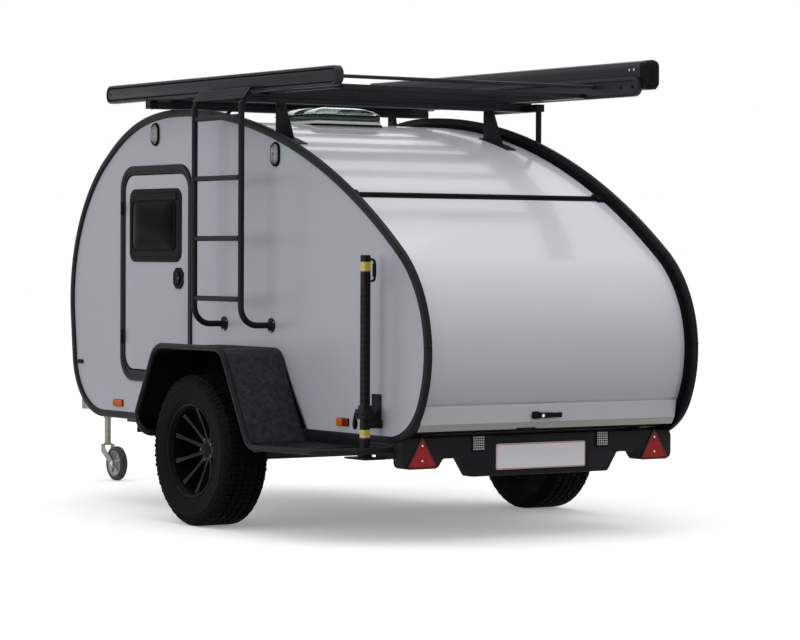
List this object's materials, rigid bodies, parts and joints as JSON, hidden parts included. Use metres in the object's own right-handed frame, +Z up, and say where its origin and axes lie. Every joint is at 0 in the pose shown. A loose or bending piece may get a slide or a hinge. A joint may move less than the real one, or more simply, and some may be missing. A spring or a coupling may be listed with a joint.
{
  "type": "teardrop trailer",
  "caption": "Small teardrop camping trailer with side doors, rear hatch, roof rack with folded awnings, ladder and jockey wheel.",
  "frame": {"origin": "on the ground under the middle of the overall length, on the centre plane", "axes": "+X forward to the coupling, +Y to the left side, +Z up"},
  "size_m": [4.7152, 2.25, 2.286],
  "materials": {
    "panel_grey": "satin grey laminate",
    "skin_white": "gloss pale grey",
    "trim_black": "satin black",
    "black_steel": "fine textured black powder coat",
    "rack_black": "anodised black",
    "galvanised": "hot dip galvanised",
    "tyre_rubber": "tread and sidewall",
    "alloy_black": "gloss black alloy",
    "cast_grey": "cast grey",
    "smoked_acrylic": "smoked acrylic",
    "roof_acrylic": "clear acrylic",
    "white_plastic": "white plastic",
    "black_plastic": "moulded black plastic",
    "floor_board": "dark coated board",
    "lens_red": "red prismatic lens",
    "lens_clear": "clear prismatic lens",
    "lens_amber": "amber lens",
    "plate_white": "blank pressed plate",
    "castor_tyre": "solid rubber tyre"
  },
  "bodies": {
    "trailer": {"awning_arm": "rack_black", "awning_left": "rack_black", "awning_right": "rack_black", "awning_tie": "rack_black", "axle": "galvanised", "bumper": "black_plastic", "chassis_rails": "galvanised", "coupling": "galvanised", "cross_members": "galvanised", "door_frame_left": "trim_black", "door_frame_right": "trim_black", "drawbar": "galvanised", "fender_left": "black_steel", "fender_right": "black_steel", "fender_tubes": "black_steel", "floor_panel": "floor_board", "galley_bulkhead": "white_plastic", "handbrake_lever": "black_steel", "hatch_hinge": "trim_black", "jack_holders": "black_steel", "jockey_clamp": "galvanised", "jockey_tube": "galvanised", "ladder": "black_steel", "marker_lamps": "lens_amber", "number_plate": "plate_white", "rack_crossbars": "rack_black", "rack_deck": "rack_black", "rack_feet": "black_steel", "rack_stay": "black_steel", "rear_lamps": "lens_clear", "rear_reflectors": "lens_red", "recovery_jack": "black_steel", "roof_panel": "skin_white", "side_lamps": "lens_clear", "side_panel_left": "panel_grey", "side_panel_right": "panel_grey", "skylight_dome": "roof_acrylic", "skylight_frame": "white_plastic", "trim_left": "trim_black", "trim_right": "trim_black"},
    "wheel_left": {"tyre_left": "tyre_rubber", "rim_left": "alloy_black", "brake_drum_left": "cast_grey"},
    "wheel_right": {"tyre_right": "tyre_rubber", "rim_right": "alloy_black", "brake_drum_right": "cast_grey"},
    "door_left": {"door_left": "panel_grey", "door_window_left": "smoked_acrylic", "door_latch_left": "black_plastic"},
    "door_right": {"door_right": "panel_grey", "door_window_right": "smoked_acrylic", "door_latch_right": "black_plastic"},
    "hatch": {"hatch": "skin_white", "hatch_handle": "black_plastic"},
    "jockey_leg": {"jockey_leg": "galvanised"},
    "jockey_fork": {"jockey_fork": "galvanised"},
    "jockey_wheel": {"jockey_wheel": "castor_tyre"},
    "steady_left": {"corner_steady_left": "galvanised"},
    "steady_right": {"corner_steady_right": "galvanised"}
  },
  "joints": [
    {"name": "wheel_left_spin", "type": "hinge", "parent": "trailer", "child": "wheel_left", "pos_m": [-0.79239, 0.993, 0.368], "axis": [0, 1, 0], "continuous": true},
    {"name": "wheel_right_spin", "type": "hinge", "parent": "trailer", "child": "wheel_right", "pos_m": [-0.79239, -0.993, 0.368], "axis": [0, 1, 0], "continuous": true},
    {"name": "door_left_hinge", "type": "hinge", "parent": "trailer", "child": "door_left", "pos_m": [0.47662, 0.792, 1.2], "axis": [0, 0, -1], "range_deg": [0, 100]},
    {"name": "door_right_hinge", "type": "hinge", "parent": "trailer", "child": "door_right", "pos_m": [0.47662, -0.792, 1.2], "axis": [0, 0, 1], "range_deg": [0, 100]},
    {"name": "hatch_hinge", "type": "hinge", "parent": "trailer", "child": "hatch", "pos_m": [-1.64739, 0, 1.60363], "axis": [0, 1, 0], "range_deg": [0, 80]},
    {"name": "jockey_height", "type": "slide", "parent": "trailer", "child": "jockey_leg", "axis": [0, 0, 1], "range_m": [0, 0.14]},
    {"name": "jockey_swivel", "type": "hinge", "parent": "jockey_leg", "child": "jockey_fork", "pos_m": [2.08761, 0, 0.2], "axis": [0, 0, 1], "continuous": true},
    {"name": "jockey_spin", "type": "hinge", "parent": "jockey_fork", "child": "jockey_wheel", "pos_m": [1.97761, 0, 0.1], "axis": [0, 1, 0], "continuous": true},
    {"name": "steady_left_hinge", "type": "hinge", "parent": "trailer", "child": "steady_left", "pos_m": [-1.98239, 0.53, 0.375], "axis": [0, 1, 0], "range_deg": [0, 60]},
    {"name": "steady_right_hinge", "type": "hinge", "parent": "trailer", "child": "steady_right", "pos_m": [-1.98239, -0.53, 0.375], "axis": [0, 1, 0], "range_deg": [0, 60]}
  ]
}
